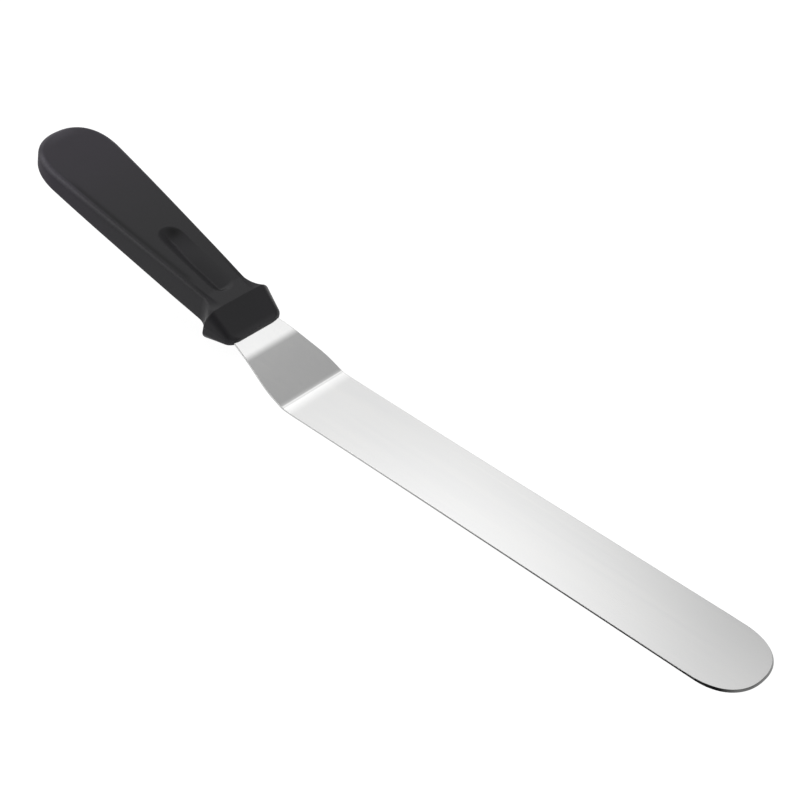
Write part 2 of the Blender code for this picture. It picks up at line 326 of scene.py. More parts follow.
@dataclass(frozen=True)
class BrushedSteel:
    """Stainless sheet with a fine lengthwise polish, faint wiping marks and duller cut edges that carry
    painted shade.
    """

    colour: Colour = (0.795, 0.794, 0.789)
    shaded: Colour = (0.776, 0.777, 0.777)
    # Near-black colour of the cut edges: painted shade standing in for the dark reflections of a polished
    # edge
    cut: Colour = (0.012, 0.012, 0.0125)
    roughness: float = 0.13
    brush_roughness: float = 0.04
    wipe_roughness: float = 0.03
    cut_roughness: float = 0.25
    brush: Grain = Grain((22.0, 2600.0, 2600.0), 3.0, 0.6)
    streak: Grain = Grain((9.0, 420.0, 420.0), 2.0)
    wipe: Grain = Grain((26.0, 70.0, 70.0), 4.0, 0.55)
    streak_share: float = 0.6
    tone_range: Span = (0.32, 0.68)
    brush_height: float = 0.00000015
    brush_strength: float = 0.35

    def material(self) -> bpy.types.Material:
        """The finish as a material."""
        material = bpy.data.materials.new(Slot.STEEL.value)
        tree = Tree.of(material)
        brush, streak, wipe = (tree.noise(grain) for grain in (self.brush, self.streak, self.wipe))
        # The cut edges are rougher, and their near-black colour is painted shade in place of dark reflections
        cut = tree.channel(Channel.CUT_EDGE_SHADE)
        tone = tree.spread(streak.mixed(self.streak_share, wipe), *self.tone_range)
        polished = tree.mix(tone, self.shaded, self.colour)
        scratched = (brush - 0.5) * self.brush_roughness + (wipe - 0.5) * self.wipe_roughness
        tree.principled(
            {"Strength": self.brush_strength, "Distance": self.brush_height, "Height": brush},
            {
                "Base Color": tree.mix(cut, polished, self.cut),
                "Metallic": 1.0,
                "Roughness": self.roughness + scratched + cut * self.cut_roughness,
            },
        )
        return material


@dataclass(frozen=True)
class MouldedPlastic:
    """Black moulded plastic with a fine grain, a faint bloom, duller sides, painted highlights on its edges
    that are speckled like rubbing, and painted shade in the recess's far corner and along a line inside the
    near edge.

    The plastic has faded a little towards the butt, between two places in X.
    """

    colour: Colour = (0.0086, 0.0081, 0.0106)
    bloom: Colour = (0.0118, 0.0111, 0.0144)
    faded: Colour = (0.0200, 0.0138, 0.0272)
    # Colours of the painted highlights on the edges, the guard's lip and the butt's rim, which are speckled
    # like rubbing
    worn_highlight: Colour = (0.1090, 0.1070, 0.1130)
    worn_highlight_faded: Colour = (0.1140, 0.1050, 0.1305)
    # Near-black colour of the painted shade in the recess's far corner and inside the near edge
    grime: Colour = (0.0010, 0.0010, 0.0012)
    roughness: float = 0.42
    grain_roughness: float = 0.10
    cloud_roughness: float = 0.06
    worn_roughness: float = -0.04
    side_roughness: float = 0.31
    painted_shade_roughness: float = 0.30
    specular: float = 0.45
    grain: Grain = Grain((3300.0,) * 3, 2.0)
    fleck: Grain = Grain((1300.0,) * 3, 3.0, 0.6)
    cloud: Grain = Grain((55.0,) * 3, 4.0, 0.6)
    bloom_cloud: float = 0.7
    bloom_range: Span = (0.35, 0.65)
    fade_reach: Span = (-0.190, -0.265)
    fade_wander: float = 0.02
    wear_highlight_evenness: float = 0.7
    wear_highlight_range: Span = (0.30, 0.62)
    grain_share: float = 0.6
    grain_height: float = 0.000012
    grain_strength: float = 0.5

    def material(self) -> bpy.types.Material:
        """The finish as a material."""
        material = bpy.data.materials.new(Slot.PLASTIC.value)
        tree = Tree.of(material)
        grain, fleck, cloud = (tree.noise(noise) for noise in (self.grain, self.fleck, self.cloud))
        bloom = tree.spread(cloud.mixed(self.bloom_cloud, fleck), *self.bloom_range)
        along = tree.part(tree.object_place(), "X")
        fade = tree.spread(along + cloud * self.fade_wander, *self.fade_reach)
        moulded = tree.mix(fade, tree.mix(bloom, self.colour, self.bloom), self.faded)
        # Painted highlight: a lighter colour on the edges, the guard's lip and the butt's rim, speckled like
        # rubbing
        rubbed = tree.mix(fade, self.worn_highlight, self.worn_highlight_faded)
        flecks = (1.0 - self.wear_highlight_evenness) * tree.spread(fleck, *self.wear_highlight_range)
        wear_highlight = tree.channel(Channel.RUBBED_HIGHLIGHT) * (self.wear_highlight_evenness + flecks)
        matt = (grain - 0.5) * self.grain_roughness + (cloud - 0.5) * self.cloud_roughness
        # Painted shade: a near-black colour in the recess's far corner and along a line inside the near edge
        grime = tree.channel(Channel.PAINTED_SHADE)
        dull = tree.channel(Channel.SIDE) * self.side_roughness + grime * self.painted_shade_roughness
        height = grain.mixed(self.grain_share, fleck)
        tree.principled(
            {"Strength": self.grain_strength, "Distance": self.grain_height, "Height": height},
            {
                "Base Color": tree.mix(wear_highlight, tree.mix(grime, moulded, self.grime), rubbed),
                "Roughness": self.roughness + matt + dull + wear_highlight * self.worn_roughness,
                "Specular IOR Level": self.specular,
            },
        )
        return material


# Shape helpers


def blend(start: float, end: float, share: float) -> float:
    """The value that lies at a share of the way from start to end."""
    return start + (end - start) * share


def eased(share: float) -> float:
    """A share, held between 0 and 1, that starts and stops gently."""
    held = min(max(share, 0.0), 1.0)
    return held * held * (3.0 - 2.0 * held)


def spread(value: float, low: float, high: float) -> float:
    """A value mapped so that low becomes 0 and high becomes 1, eased and held between them."""
    return eased((value - low) / (high - low))


def between(low: float, high: float, steps: int) -> list[float]:
    """Evenly spaced values from low to high, both included."""
    return [blend(low, high, i / steps) for i in range(steps + 1)]


def quarter_turn(steps: int) -> list[float]:
    """Evenly spaced angles from 0 to a right angle, both included."""
    return between(0.0, math.pi / 2, steps)


def spaced(places: Iterable[float], gap: float) -> list[float]:
    """The places in order, without those that come closer than the gap after another."""
    kept: list[float] = []
    for place in sorted(places):
        if not kept or place - kept[-1] > gap:
            kept.append(place)
    return kept


def ring_faces(count: int, rings: int) -> list[list[int]]:
    """Faces over rings of points that follow each other, with a cap on the first ring.

    Args:
        count: how many points a ring has.
        rings: how many rings there are.

    Returns:
        The point numbers of each face.
    """
    faces = [list(range(count))[::-1]]
    for here in range(0, (rings - 1) * count, count):
        there = here + count
        for j in range(count):
            k = (j + 1) % count
            faces.append([here + j, here + k, there + k, there + j])
    return faces


def meshed(name: str, points: Sequence[Point], faces: Sequence[Sequence[int]]) -> bpy.types.Mesh:
    """A new mesh of points and faces."""
    mesh = bpy.data.meshes.new(name)
    mesh.from_pydata(points, [], faces)
    return mesh


def linked(name: str, data: bpy.types.ID) -> bpy.types.Object:
    """A new object in the scene."""
    thing = bpy.data.objects.new(name, data)
    bpy.context.scene.collection.objects.link(thing)
    return thing


def skinned(name: str, rings: Sequence[Sequence[Point]]) -> bpy.types.Mesh:
    """A closed mesh over rings of points.

    Args:
        name: the mesh's name.
        rings: rings with as many points each, clockwise as seen from the side of the first ring.

    Returns:
        The mesh, with a flat cap on each end ring.
    """
    count = len(rings[0])
    points = [point for ring in rings for point in ring]
    faces = ring_faces(count, len(rings))
    last = (len(rings) - 1) * count
    faces.append(list(range(last, last + count)))
    return meshed(name, points, faces)


def made_plain(name: str, mesh: bpy.types.Mesh, tree: Tree, inputs: Mapping[str, Any]) -> bpy.types.Object:
    """Runs a mesh through a Geometry Nodes tree and keeps the result as a plain object.

    Args:
        name: the finished object's name.
        mesh: the mesh that goes in.
        tree: the Geometry Nodes tree.
        inputs: values of the tree's named inputs.

    Returns:
        An object at the origin that holds the result.
    """
    source = linked(name + "_source", mesh)
    modifier = source.modifiers.new(tree.nodes.name, "NODES")
    modifier.node_group = tree.nodes
    for item in tree.nodes.interface.items_tree:
        if item.in_out == "INPUT" and item.name in inputs:
            modifier[item.identifier] = inputs[item.name]
    graph = bpy.context.evaluated_depsgraph_get()
    plain = bpy.data.meshes.new_from_object(source.evaluated_get(graph), depsgraph=graph)
    source.modifiers.remove(modifier)
    bpy.data.objects.remove(source, do_unlink=True)
    plain.name = name
    return linked(name, plain)


def smooth_shaded(thing: bpy.types.Object, crease: float) -> bpy.types.Object:
    """Shades an object smooth, apart from edges that turn by more than the crease angle."""
    thing.data.shade_smooth()
    thing.data.set_sharp_from_angle(angle=crease)
    return thing


def placed(thing: bpy.types.Object, node: str) -> bpy.types.Object:
    """Lets an object ride on the frame in place of a CAD node, and hides that node."""
    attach(thing, "root")
    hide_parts(node)
    LOG.info("%s: %d points, %d faces", thing.name, len(thing.data.vertices), len(thing.data.polygons))
    return thing


def lock_posts_group() -> Tree:
    """A node group that makes a row of round posts along X, square to the tang."""
    tree = Tree.group("lock_posts", POST_SOCKETS, {"Posts": "NodeSocketGeometry"})
    count, first, spacing, diameter, height = tree.taken(POST_SOCKETS).values()
    row = tree.add(
        "GeometryNodeMeshLine",
        {"mode": "OFFSET"},
        {"Count": count, "Start Location": tree.vector(X=first), "Offset": tree.vector(X=spacing)},
    )
    post = tree.add(
        "GeometryNodeMeshCylinder",
        None,
        {"Vertices": POST_SIDES, "Radius": diameter / 2.0, "Depth": height},
        "Mesh",
    )
    posts = tree.add("GeometryNodeInstanceOnPoints", None, {"Points": row, "Instance": post})
    tree.give({"Posts": tree.add("GeometryNodeRealizeInstances", None, {"Geometry": posts})})
    return tree


def bend_group() -> Tree:
    """A node group that rolls a sheet round one bend, whose radius and turn are negative if it bends down."""
    inputs = dict.fromkeys(("Along", "Rise", "Start", "Radius", "Turn"), "NodeSocketFloat")
    tree = Tree.group("bend", inputs, dict.fromkeys(("Along", "Rise"), "NodeSocketFloat"))
    along, rise, start, radius, turn = tree.taken(inputs).values()
    arc = radius * turn
    past = along - start
    angle = past.compare(Compare.AT_LEAST, 0.0).compare(Compare.AT_MOST, arc) / radius
    straight = (past - arc).compare(Compare.AT_LEAST, 0.0)
    reach = radius - rise
    tree.give(
        {
            "Along": along.compare(Compare.AT_MOST, start) + reach * angle.sine() + straight * angle.cosine(),
            "Rise": radius - reach * angle.cosine() + straight * angle.sine(),
        }
    )
    return tree


# Blade


@dataclass(frozen=True)
class Bend:
    """A bend of the sheet, by its start from the tip, its radius and its turn, negative if it bends down."""

    start: float
    radius: float
    turn: float

    @property
    def length(self) -> float:
        """Length of the bent stretch."""
        return self.radius * abs(self.turn)

    @property
    def end(self) -> float:
        """Where the bent stretch ends, from the tip."""
        return self.start + self.length

    def inputs(self, name: str) -> dict[str, float]:
        """The bend as named inputs of the bending tree."""
        sign = math.copysign(1.0, self.turn)
        return {f"{name} start": self.start, f"{name} radius": sign * self.radius, f"{name} turn": self.turn}


@dataclass
class Blade:
    """The blade: flat, heel, ramp, upper bend and neck in one sheet, with the tang that the handle hides.

    The heel is pressed in three bends: a long gentle foot on the flat, the tight bend, and a gentle brow
    below the ramp. The sheet's long edges are rounded off, and the edge round its tip is ground at a slope.
    A face of the blank whose normal rises by less than cut_upright is a cut edge. Cut edges carry painted
    shade, darkest by the tip and paling away from it, and a little painted highlight at the tip itself.
    """

    sheet: float = 0.0010
    flat_length: float = 0.2205
    width: float = 0.0326
    tip_length: float = 0.0180
    tip_fullness: float = 2.24
    heel_width: float = 0.0336
    heel_spread: float = 0.0900
    foot_radius: float = 0.0800
    foot_turn: float = math.radians(3.8)
    heel_radius: float = 0.0068
    brow_radius: float = 0.0400
    brow_turn: float = math.radians(2.5)
    ramp_angle: float = math.radians(22.0)
    ramp_length: float = 0.0275
    upper_radius: float = 0.0440
    neck_length: float = 0.0087
    neck_width: float = 0.0245
    flare_start: float = 0.0100
    shoulder_blend: float = 0.0050
    tang_length: float = 0.0880
    tang_width: float = 0.0150
    tang_shoulder: float = 0.0090
    handle_tilt: float = math.radians(16.25)
    hole_diameter: float = 0.0060
    hole_count: int = 2
    hole_spacing: float = 0.0340
    hole_setback: float = 0.0200
    edge_radius: float = 0.00020
    tip_edge_radius: float = 0.00006
    tip_edge_lean: float = 0.00055
    tip_edge_reach: Span = (0.010, 0.022)
    cut_upright: float = 0.6
    # Painted shade on the cut edges: where and how much it pales away from the tip, and the painted highlight
    # at the tip
    edge_shade_fade: Span = (0.030, 0.250)
    edge_shade_paling: float = 0.65
    tip_shine: float = 0.25
    tip_shine_fade: Span = (0.0090, 0.0030)
    edge_support: float = 0.00005
    edge_steps: int = 6
    tip_steps: int = 56
    flat_steps: int = 24
    bend_steps: int = 24
    shoulder_steps: int = 16
    tang_shoulder_steps: int = 12
    tang_end_steps: int = 16
    station_gap: float = 0.0000125
    crease: float = math.radians(40.0)

    @property
    def heel_parts(self) -> list[tuple[float, float, float]]:
        """The heel's bends from the flat up, each by its radius and the slopes where it starts and ends."""
        low = self.foot_turn
        high = self.ramp_angle - self.brow_turn
        return [
            (self.foot_radius, 0.0, low),
            (self.heel_radius, low, high),
            (self.brow_radius, high, self.ramp_angle),
        ]

    @property
    def heel_rise(self) -> float:
        """How far the sheet has risen at the end of the heel's bends."""
        return sum(radius * (math.cos(low) - math.cos(high)) for radius, low, high in self.heel_parts)

    @property
    def foot(self) -> Bend:
        """The gentle first bend of the heel, placed so that flat and ramp still meet at the flat's length."""
        reach = sum(radius * (math.sin(high) - math.sin(low)) for radius, low, high in self.heel_parts)
        setback = reach - self.heel_rise / math.tan(self.ramp_angle)
        return Bend(self.flat_length - setback, self.foot_radius, self.foot_turn)

    @property
    def heel(self) -> Bend:
        """The tight bend of the heel."""
        return Bend(self.foot.end, self.heel_radius, self.ramp_angle - self.foot_turn - self.brow_turn)

    @property
    def brow(self) -> Bend:
        """The gentle last bend of the heel."""
        return Bend(self.heel.end, self.brow_radius, self.brow_turn)

    @property
    def upper(self) -> Bend:
        """The bend between the ramp and the neck."""
        turn = self.handle_tilt - self.ramp_angle
        setback = self.upper_radius * math.tan(abs(turn) / 2)
        ramp = self.ramp_length - self.heel_rise / math.sin(self.ramp_angle) - setback
        return Bend(self.brow.end + ramp, self.upper_radius, turn)

    @property
    def bends(self) -> dict[str, Bend]:
        """The bends by name, from the tip on."""
        return {"Foot": self.foot, "Heel": self.heel, "Brow": self.brow, "Upper": self.upper}

    @property
    def guard_at(self) -> float:
        """Where the sheet enters the handle, from the tip."""
        setback = self.upper_radius * math.tan(abs(self.upper.turn) / 2)
        return self.upper.end + self.neck_length - setback

    @property
    def tip(self) -> float:
        """The tip's place in X."""
        return self.flat_length / 2

    def middle(self, along: float) -> Vector:
        """The point of the sheet's middle surface, in X and Z, at a distance from the tip."""
        place = Vector((self.tip, self.sheet / 2))
        slope = 0.0
        at = 0.0
        for bend in self.bends.values():
            place += (bend.start - at) * Vector((-math.cos(slope), math.sin(slope)))
            chord = 2 * bend.radius * math.sin(abs(bend.turn) / 2)
            slope += bend.turn / 2
            place += chord * Vector((-math.cos(slope), math.sin(slope)))
            slope += bend.turn / 2
            at = bend.end
        return place + (along - at) * Vector((-math.cos(slope), math.sin(slope)))

    def tang_half_width(self, inside: float) -> float:
        """Half the tang's width at a distance inside the handle: a shoulder, a run and a round end."""
        if inside < self.tang_shoulder:
            return blend(self.neck_width, self.tang_width, eased(inside / self.tang_shoulder)) / 2
        radius = self.tang_width / 2
        past_straight = max(inside - (self.tang_length - radius), 0.0)
        return math.sqrt(max(radius**2 - past_straight**2, 0.0))

    def half_width(self, along: float) -> float:
        """Half the sheet's width at a distance from the tip."""
        past_heel = along - self.flat_length
        if along < self.tip_length:
            share = 1.0 - along / self.tip_length
            return self.width / 2 * (1.0 - share**self.tip_fullness) ** (1.0 / self.tip_fullness)
        if past_heel <= 0.0:
            share = max(1.0 + past_heel / self.heel_spread, 0.0)
            return blend(self.width, self.heel_width, share * share) / 2
        if along > self.guard_at:
            return self.tang_half_width(along - self.guard_at)
        flare = self.guard_at - self.flat_length - self.flare_start
        slope = (self.heel_width - self.neck_width) / 2 / flare
        past_corner = past_heel - self.flare_start
        if past_corner <= -self.shoulder_blend:
            return self.heel_width / 2
        if past_corner >= self.shoulder_blend:
            return self.heel_width / 2 - slope * past_corner
        blended = (past_corner + self.shoulder_blend) ** 2 / (4 * self.shoulder_blend)
        return self.heel_width / 2 - slope * blended

    def tang_stations(self) -> list[float]:
        """Distances inside the handle where the tang's outline needs a point."""
        radius = self.tang_width / 2
        shoulder = between(0.0, self.tang_shoulder, self.tang_shoulder_steps)
        straight = self.tang_length - radius
        return shoulder + [straight + radius * math.sin(turn) for turn in quarter_turn(self.tang_end_steps)]

    def stations(self) -> list[float]:
        """Distances from the tip where the outline or a bend needs a point, the two ends included."""
        power = 2.0 / self.tip_fullness
        tip = [self.tip_length * (1.0 - math.cos(turn) ** power) for turn in quarter_turn(self.tip_steps)]
        flat = between(self.tip_length, self.foot.start, self.flat_steps)
        bends = self.bends.values()
        bent = [along for bend in bends for along in between(bend.start, bend.end, self.bend_steps)]
        corner = self.flat_length + self.flare_start
        reach = self.shoulder_blend
        shoulder = between(corner - reach, corner + reach, self.shoulder_steps)
        tang = [self.guard_at + inside for inside in self.tang_stations()]
        return spaced(tip + flat + bent + shoulder + tang, self.station_gap)

    def rim_profile(self, along: float) -> list[tuple[float, float]]:
        """Inset and rise of the sheet's eased edge, from the top face down, at a distance from the tip."""
        past_tip = spread(along, *self.tip_edge_reach)
        radius = blend(self.tip_edge_radius, self.edge_radius, past_tip)
        lean = blend(self.tip_edge_lean, 0.0, past_tip)
        top = [(radius + self.edge_support, self.sheet / 2)]
        for turn in quarter_turn(self.edge_steps):
            top.append((radius * (1.0 - math.sin(turn)), self.sheet / 2 - radius * (1.0 - math.cos(turn))))
        rim = top + [(inset, -rise) for inset, rise in reversed(top)]
        return [(inset + lean * (0.5 + rise / self.sheet), rise) for inset, rise in rim]

    def blank(self) -> bpy.types.Mesh:
        """The flat blank, before its bends: the outline's eased edge, closed by strips across both faces."""
        stations = self.stations()
        last = len(stations) - 1
        far = [(self.tip - along, self.half_width(along)) for along in stations]
        far[0] = (far[0][0], 0.0)
        far[last] = (far[last][0], 0.0)
        near = [(x, -y) for x, y in far[1:last]]
        outline = np.array(far + near[::-1])
        ahead = np.roll(outline, -1, axis=0) - np.roll(outline, 1, axis=0)
        outward = np.stack([ahead[:, 1], -ahead[:, 0]], axis=1)
        outward /= np.linalg.norm(outward, axis=1)[:, None]
        rims = [self.rim_profile(along) for along in stations]
        rims += rims[last - 1 : 0 : -1]
        points: list[Point] = []
        for profile in np.array(rims).transpose(1, 2, 0):
            loop = outline - profile[0][:, None] * outward
            points += [(x, y, rise) for (x, y), rise in zip(loop.tolist(), profile[1].tolist())]
        count = len(outline)
        faces: list[tuple[int, ...]] = []
        for k in range(len(rims[0]) - 1):
            here = k * count
            there = here + count
            for j in range(count):
                after = (j + 1) % count
                faces.append((here + j, there + j, there + after, here + after))
        under = (len(rims[0]) - 1) * count
        for i in range(last):
            strip = [i, i + 1, (count - i - 1) % count, (count - i) % count]
            strip = list(dict.fromkeys(strip))
            faces.append(tuple(strip))
            faces.append(tuple(under + corner for corner in reversed(strip)))
        return meshed("blade_blank", points, faces)

    def post_inputs(self, guard: float, clearance: float = 0.0) -> dict[str, float]:
        """The posts of the lock holes, as named inputs of a tree.

        Args:
            guard: the guard's front in X, on the flat blank.
            clearance: the gap round a post in its hole.

        Returns:
            The inputs, as the posts' node group names them.
        """
        return {
            "Post count": self.hole_count,
            "First post": guard - (self.tang_length - self.hole_setback),
            "Post spacing": self.hole_spacing,
            "Post diameter": self.hole_diameter - 2 * clearance,
            "Post height": POST_SHEETS * self.sheet,
        }

    def bending_tree(self, posts: Tree) -> Tree:
        """The tree that punches the lock holes in the blank, marks its cut edges for painted shade and bends
        it.

        Args:
            posts: the node group that makes a row of posts.

        Returns:
            A Geometry Nodes tree with named inputs.
        """
        inputs = {"Blank": "NodeSocketGeometry", "Tip": "NodeSocketFloat", "Sheet": "NodeSocketFloat"}
        for name, bend in self.bends.items():
            inputs.update(dict.fromkeys(bend.inputs(name), "NodeSocketFloat"))
        inputs.update({**POST_SOCKETS, "Finish": "NodeSocketMaterial"})
        tree = Tree.group("bent_sheet", inputs, {"Sheet": "NodeSocketGeometry"})
        punched = tree.cut(tree.take("Blank"), tree.call(posts, tree.taken(POST_SOCKETS)))
        place = tree.add("GeometryNodeInputPosition")
        forward, across, rise = (tree.part(place, axis) for axis in "XYZ")
        along = tree.take("Tip") - forward
        upright = tree.part(tree.add("GeometryNodeInputNormal", None, None, "Normal"), "Z")
        edge = abs(upright).compare(Compare.BELOW, self.cut_upright)
        # Painted shade on the cut edges, paling away from the tip and eased at the tip itself as a painted
        # highlight
        shine = self.tip_shine * tree.spread(along, *self.tip_shine_fade)
        darkness = 1.0 - self.edge_shade_paling * tree.spread(along, *self.edge_shade_fade) - shine
        marked = tree.add(
            "GeometryNodeStoreNamedAttribute",
            {"data_type": "FLOAT", "domain": "FACE"},
            {"Geometry": punched, "Name": Channel.CUT_EDGE_SHADE.value, "Value": edge * darkness},
        )
        bending = bend_group()
        for name, bend in reversed(self.bends.items()):
            start, radius, turn = tree.taken(bend.inputs(name)).values()
            sockets = {"Along": along, "Rise": rise, "Start": start, "Radius": radius, "Turn": turn}
            along = tree.call(bending, sockets, "Along")
            rise = Link(tree, along.socket.node.outputs["Rise"])
        bent = tree.vector(X=tree.take("Tip") - along, Y=across, Z=rise + tree.take("Sheet") / 2.0)
        moved = tree.add("GeometryNodeSetPosition", None, {"Geometry": marked, "Position": bent})
        tree.give({"Sheet": tree.dressed(moved, tree.take("Finish"))})
        return tree

    def build(self, finish: BrushedSteel, posts: Tree) -> bpy.types.Object:
        """The finished blade.

        Args:
            finish: the steel's finish.
            posts: the node group that makes a row of posts.

        Returns:
            The blade's object.
        """
        inputs = {"Tip": self.tip, "Sheet": self.sheet, "Finish": finish.material()}
        inputs.update(self.post_inputs(self.tip - self.guard_at))
        for name, bend in self.bends.items():
            inputs.update(bend.inputs(name))
        blade = made_plain("spatula_blade", self.blank(), self.bending_tree(posts), inputs)
        return placed(smooth_shaded(blade, self.crease), "blade")


# Handle


@dataclass
class ThumbRecess:
    """The thumb recess in the handle's top face: a slot with round ends.

    Its floor slopes up to the far side. Towards its rear end it grows deeper and its near wall wider, and its
    far corner is painted darker as painted shade. Places are measured behind the guard's front and across the
    handle.
    """

    start: float = 0.0190
    length: float = 0.0431
    width: float = 0.0114
    centre: float = 0.0004
    depth: float = 0.0018
    near_wall: float = 0.0033
    near_softness: float = 0.45
    front_wall: float = 0.0032
    end_wall: float = 0.0080
    far_fullness: float = 1.3
    end_fullness: float = 0.9
    end_deepening: float = 0.52
    end_fade: float = 0.0170
    far_corner: float = 0.50
    # Place and spread of the painted shade in the recess's far corner
    painted_shade_place: Span = (0.0584, 0.0032)
    painted_shade_spread: float = 0.0036
    painted_shade_margin: float = 0.0012
    end_margin: float = 0.0010
    front_steps: int = 20
    floor_steps: int = 32
    end_steps: int = 40

    @property
    def half_width(self) -> float:
        """Half the recess's width."""
        return self.width / 2

    @property
    def end(self) -> float:
        """Where the recess ends, behind the guard's front."""
        return self.start + self.length

    @property
    def round_start(self) -> float:
        """Where the round rear end begins, behind the guard's front."""
        return self.end - self.half_width

    def reach(self, across: float) -> float:
        """How far a round end reaches at a place across."""
        return math.sqrt(max(self.half_width**2 - (across - self.centre) ** 2, 0.0))

    def grime(self, inside: float, across: float) -> float:
        """How much painted shade the recess's far corner puts at a point, from 0 to 1."""
        inner = min(self.round_start + self.reach(across) - inside, self.reach(across))
        away = math.hypot(inside - self.painted_shade_place[0], across - self.painted_shade_place[1])
        return eased(inner / self.painted_shade_margin) * math.exp(-((away / self.painted_shade_spread) ** 2))

    def drop(self, inside: float, across: float) -> float:
        """How far the top face lies below its plain height at a point.

        Args:
            inside: the point's distance behind the guard's front.
            across: its place across the handle.

        Returns:
            The depth of the recess there, or 0 outside it.
        """
        half = self.half_width
        reach = self.reach(across)
        across -= self.centre
        from_front = inside - self.start - half + reach
        from_end = self.round_start + reach - inside
        if min(from_front, from_end, reach) <= 0.0:
            return 0.0
        fade = eased((self.round_start - inside) / self.end_fade)
        deeper = 1.0 + self.end_deepening * (1.0 - fade)
        far = ((half - across) / self.width) ** blend(self.end_fullness, self.far_fullness, fade)
        wall = min((half + across) / (self.near_wall * deeper), 1.0)
        near = blend(wall**2, eased(wall), self.near_softness)
        end_wall = self.end_wall * (1.0 - self.far_corner * max(across / half, 0.0))
        tail = 1.0 - max(1.0 - from_end / end_wall, 0.0) ** 2
        return self.depth * deeper * near * far * eased(from_front / self.front_wall) * tail

    def stations(self) -> list[float]:
        """Distances behind the guard's front where the recess needs a ring."""
        floor = self.start + self.half_width
        end = self.round_start - self.half_width
        stations = between(self.start, floor, self.front_steps) + between(floor, end, self.floor_steps)
        return stations + between(end, self.end + self.end_margin, self.end_steps)


@dataclass(frozen=True)
class Section:
    """A cross-section of the handle: half its sizes, the reach of its rounded edges and how full these are.

    An edge of fullness 2 is round, and one of fullness 1 would be a flat chamfer. The bevel is how far the
    top face has sloped down where the rounded edge begins.
    """

    half_width: float
    half_thickness: float
    edge_across: float
    edge_deep: float
    fullness: float
    bevel: float

    @property
    def flat(self) -> float:
        """Half the width of the plain top face."""
        return self.half_width - self.edge_across

    @property
    def upright(self) -> float:
        """Half the height of the plain side."""
        return self.half_thickness - self.bevel - self.edge_deep

    def corner(self, turn: float) -> tuple[float, float]:
        """Place across and height on the rounded edge, at a turn from the top face to the side."""
        power = 2.0 / self.fullness
        across = self.flat + self.edge_across * math.sin(turn) ** power
        return across, self.upright + self.edge_deep * max(math.cos(turn), 0.0) ** power


